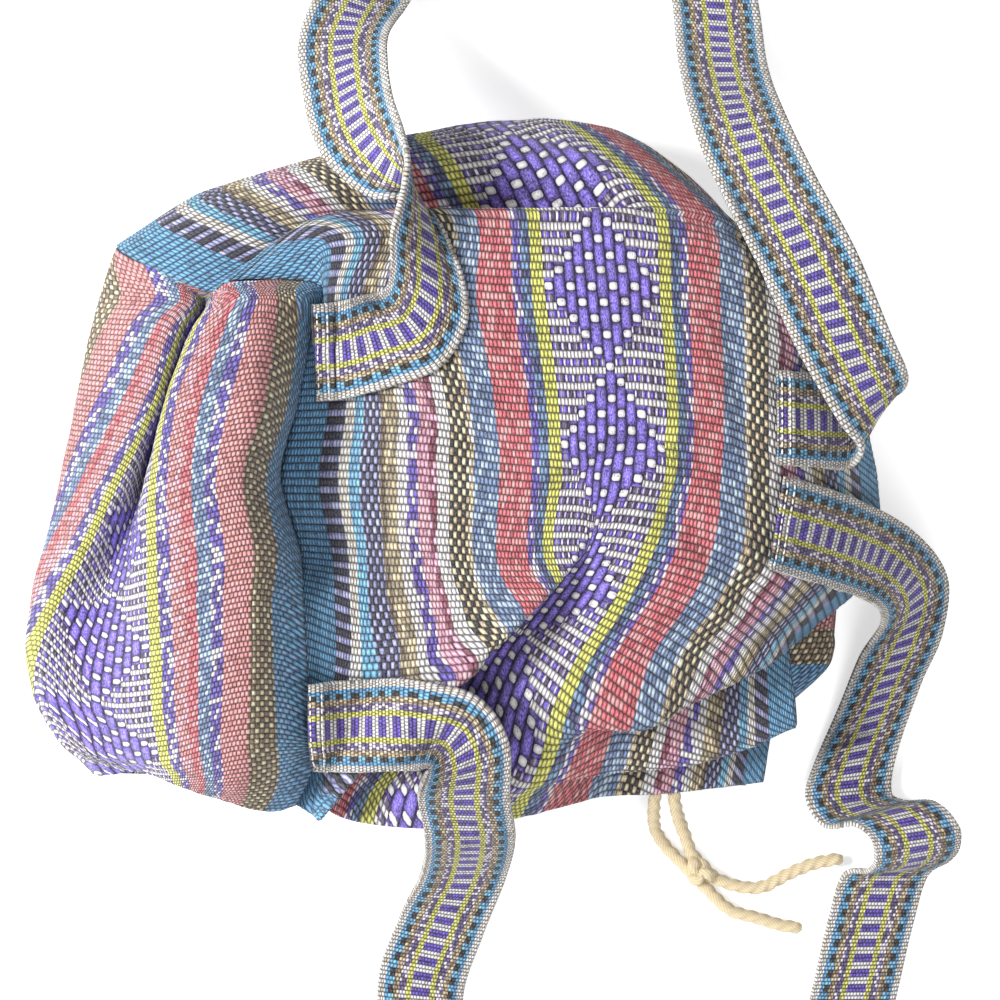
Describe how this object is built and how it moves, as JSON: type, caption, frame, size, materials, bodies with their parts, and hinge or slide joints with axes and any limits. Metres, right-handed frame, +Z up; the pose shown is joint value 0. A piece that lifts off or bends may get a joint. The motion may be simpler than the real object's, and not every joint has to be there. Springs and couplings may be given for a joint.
{
  "type": "woven drawstring shoulder bag",
  "caption": "Soft striped woven bag lying on its back, with a gathered drawstring mouth, side gussets and flat woven shoulder straps spread out beyond it.",
  "frame": {"origin": "on the table, under the flat back panel, near its middle", "axes": "+Z up off the table through the bag's thickness, +Y towards the closed base, -Y towards the drawstring mouth, +X towards the bag's right side as seen from above"},
  "size_m": [0.3517, 0.572, 0.0999],
  "materials": {
    "body_cloth": "matte",
    "gusset_cloth": "matte",
    "strap_cloth": "matte",
    "cord": "matte"
  },
  "bodies": {
    "root": {"main_panel": "body_cloth", "left_gusset": "gusset_cloth", "right_gusset": "gusset_cloth", "upper_strap": "strap_cloth", "lower_strap": "strap_cloth", "drawstring_strand_left": "cord", "drawstring_strand_right": "cord", "drawstring_knot": "cord", "drawstring_tail_upper": "cord", "drawstring_tail_lower": "cord"}
  },
  "joints": []
}
